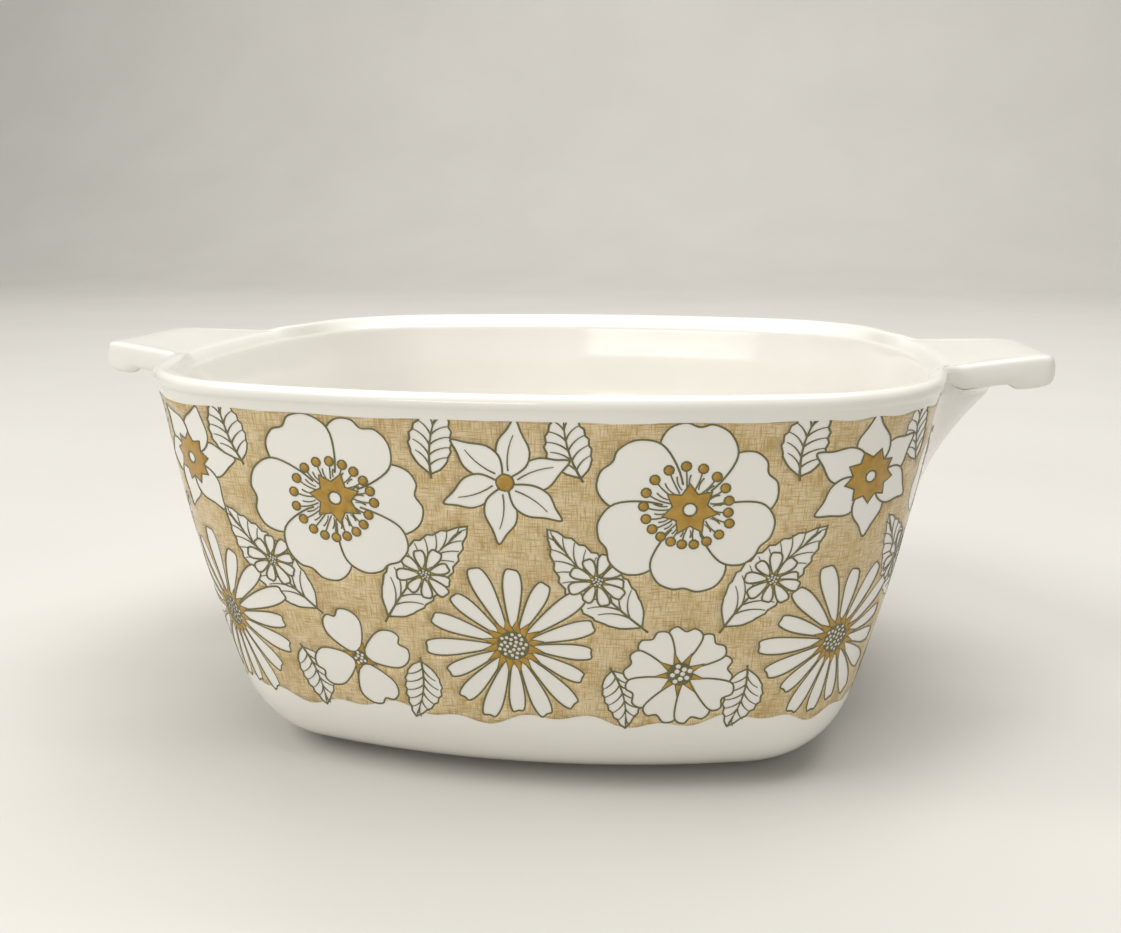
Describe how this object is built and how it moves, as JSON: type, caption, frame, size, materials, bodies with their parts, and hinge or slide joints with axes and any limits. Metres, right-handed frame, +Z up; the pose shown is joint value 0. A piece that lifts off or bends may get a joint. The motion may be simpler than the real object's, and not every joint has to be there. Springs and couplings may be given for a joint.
{
  "type": "casserole dish",
  "caption": "Square glass-ceramic casserole dish with tab handles, gussets, a cover seat inside the rim and a fired-on floral band.",
  "frame": {"origin": "centre of the flat base, on the table", "axes": "+X along the handles, -Y to the front printed side, +Z up"},
  "size_m": [0.2308, 0.1798, 0.0888],
  "materials": {
    "glass_ceramic": "gloss",
    "printed_transfer": "satin gloss"
  },
  "bodies": {
    "root": {"dish_body": "glass_ceramic", "print_front": "printed_transfer", "print_back": "printed_transfer"}
  },
  "joints": []
}
